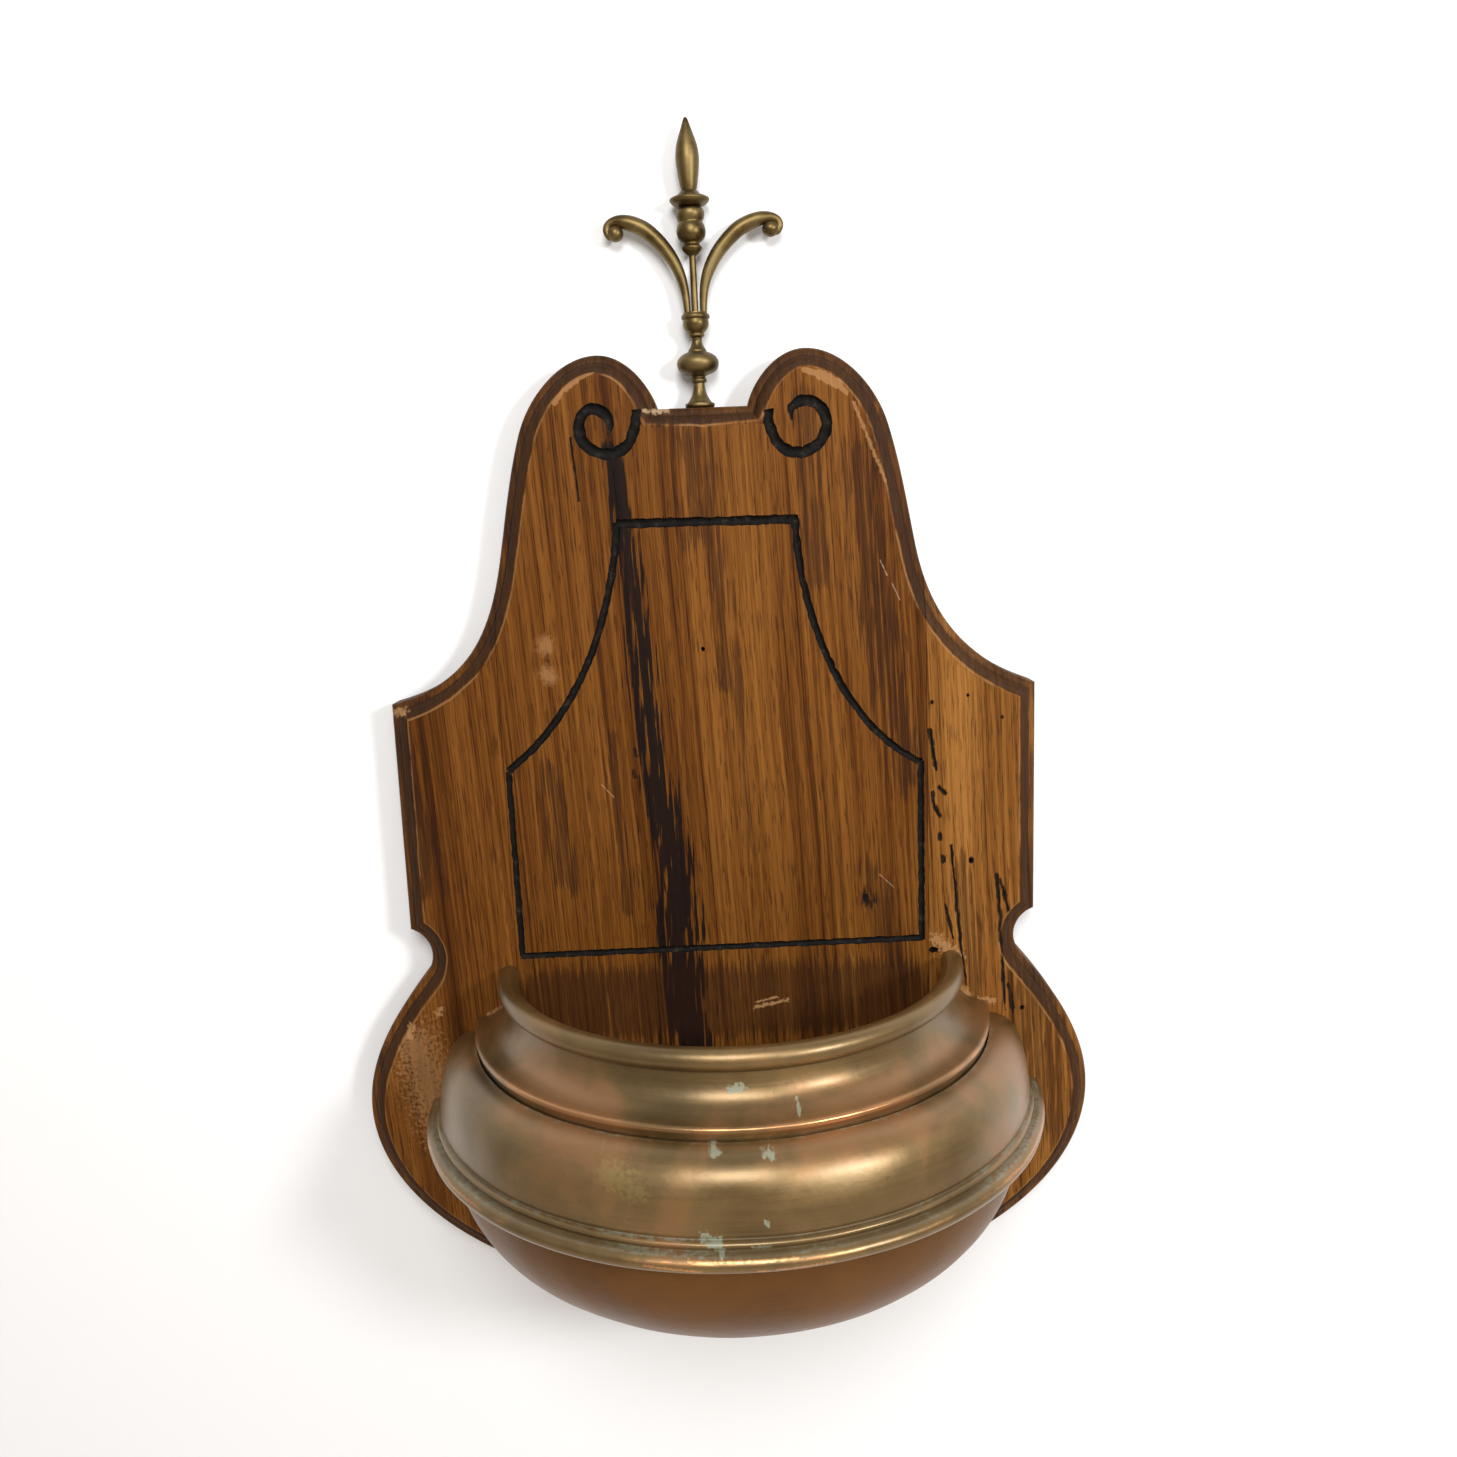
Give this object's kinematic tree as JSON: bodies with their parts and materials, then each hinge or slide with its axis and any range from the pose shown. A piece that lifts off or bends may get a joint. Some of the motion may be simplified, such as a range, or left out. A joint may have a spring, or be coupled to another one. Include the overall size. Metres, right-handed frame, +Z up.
{
  "type": "wall-hung baptismal font",
  "caption": "Half-round copper font basin let into a shaped, moulded walnut backboard, with a loose inner water pan and a turned brass finial with scroll arms.",
  "frame": {"origin": "on the wall plane at the back of the board, on the board's centreline, level with the middle of the rim bead", "axes": "+Z up, +X to the viewer's right, the font faces -Y and the wall is the plane Y = 0"},
  "size_m": [0.4622, 0.2194, 0.7364],
  "materials": {
    "walnut": "old wax polish, worn at the edges",
    "pale_walnut": "old wax polish, worn at the edges",
    "beech": "plain",
    "oak": "plain, unpolished",
    "aged_copper": "aged copper, rubbed bright on the edges",
    "red_copper": "aged red copper, satin",
    "tinned_copper": "tinned copper, dull",
    "dull_brass": "dull lacquered brass",
    "screw_brass": "satin",
    "iron": "blackened iron"
  },
  "bodies": {
    "font": {"board_left_plank": "walnut", "board_middle_plank": "walnut", "board_right_plank": "pale_walnut", "dowel_left_1": "beech", "dowel_left_2": "beech", "dowel_left_3": "beech", "dowel_right_1": "beech", "dowel_right_2": "beech", "dowel_right_3": "beech", "upper_batten": "oak", "upper_batten_screw_left": "iron", "upper_batten_screw_middle": "iron", "upper_batten_screw_right": "iron", "lower_batten": "oak", "lower_batten_screw_left": "iron", "lower_batten_screw_middle": "iron", "lower_batten_screw_right": "iron", "hanger_plate_left": "iron", "hanger_screw_left_top": "screw_brass", "hanger_screw_left_foot": "screw_brass", "hanger_plate_right": "iron", "hanger_screw_right_top": "screw_brass", "hanger_screw_right_foot": "screw_brass", "rim_bead": "aged_copper", "rim_wire": "iron", "neck_collar": "aged_copper", "shoulder_shell": "aged_copper", "lower_bowl": "red_copper", "fixing_tab_upper_left": "aged_copper", "tab_screw_upper_left": "screw_brass", "fixing_tab_upper_right": "aged_copper", "tab_screw_upper_right": "screw_brass", "fixing_tab_lower_left": "aged_copper", "tab_screw_lower_left": "screw_brass", "fixing_tab_lower_right": "aged_copper", "tab_screw_lower_right": "screw_brass", "fixing_tab_bottom": "aged_copper", "tab_screw_bottom": "screw_brass", "finial_foot": "dull_brass", "finial_bulb": "dull_brass", "finial_cup": "dull_brass", "finial_rod": "dull_brass", "finial_knop": "dull_brass", "finial_dish": "dull_brass", "finial_spear": "dull_brass", "finial_insert": "dull_brass", "scroll_arm_left": "dull_brass", "scroll_arm_right": "dull_brass"},
    "pan": {"liner_pan": "tinned_copper"}
  },
  "joints": [
    {"name": "pan_lift", "type": "slide", "parent": "font", "child": "pan", "axis": [0, 0, 1], "range_m": [0, 0.2]}
  ]
}
